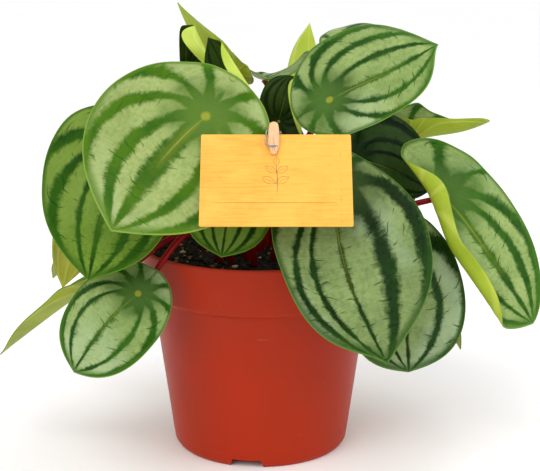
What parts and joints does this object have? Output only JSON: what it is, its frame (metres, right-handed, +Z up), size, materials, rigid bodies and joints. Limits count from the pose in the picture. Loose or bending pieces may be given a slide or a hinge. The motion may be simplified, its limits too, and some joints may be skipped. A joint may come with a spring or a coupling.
{
  "type": "potted peperomia",
  "caption": "Potted watermelon peperomia: round striped leaves on red stalks in soil, in a terracotta-coloured nursery pot, with a blank label card clipped on by a small peg.",
  "frame": {"origin": "middle of the pot's foot, on the surface that the pot stands on; the leaves spread about evenly round it", "axes": "+Z up along the pot's axis, -Y to the front, where the label card hangs, +X to the right seen from the front"},
  "size_m": [0.2634, 0.1958, 0.2181],
  "materials": {
    "pot": "satin",
    "soil": "matte",
    "leaf": "satin",
    "stalk": "satin",
    "card": "satin",
    "peg_wood": "matte",
    "spring_steel": "satin"
  },
  "bodies": {
    "root": {"pot": "pot", "soil": "soil", "blade_front_left": "leaf", "stalk_front_left": "stalk", "blade_left_upper": "leaf", "stalk_left_upper": "stalk", "blade_left_low": "leaf", "stalk_left_low": "stalk", "blade_left_edge": "leaf", "stalk_left_edge": "stalk", "blade_left_behind": "leaf", "stalk_left_behind": "stalk", "blade_front_middle": "leaf", "stalk_front_middle": "stalk", "blade_front_right": "leaf", "stalk_front_right": "stalk", "blade_right_low": "leaf", "stalk_right_low": "stalk", "blade_right_tucked": "leaf", "stalk_right_tucked": "stalk", "blade_right_rolled": "leaf", "stalk_right_rolled": "stalk", "blade_top_right": "leaf", "stalk_top_right": "stalk", "blade_top_right_behind": "leaf", "stalk_top_right_behind": "stalk", "blade_right_cupped": "leaf", "stalk_right_cupped": "stalk", "blade_right_shaded": "leaf", "stalk_right_shaded": "stalk", "blade_top_back_cupped": "leaf", "stalk_top_back_cupped": "stalk", "blade_top_back_flat": "leaf", "stalk_top_back_flat": "stalk", "blade_top_back_tip": "leaf", "stalk_top_back_tip": "stalk", "blade_top_left_back": "leaf", "stalk_top_left_back": "stalk", "blade_middle_back": "leaf", "stalk_middle_back": "stalk", "blade_top_left_inner": "leaf", "stalk_top_left_inner": "stalk", "blade_back_left": "leaf", "stalk_back_left": "stalk", "blade_back_middle": "leaf", "stalk_back_middle": "stalk", "blade_back_right": "leaf", "stalk_back_right": "stalk", "blade_right_back": "leaf", "stalk_right_back": "stalk", "blade_left_back": "leaf", "stalk_left_back": "stalk", "blade_back_low": "leaf", "stalk_back_low": "stalk", "label_card": "card", "peg_front_jaw": "peg_wood", "peg_back_jaw": "peg_wood", "peg_spring": "spring_steel"}
  },
  "joints": []
}
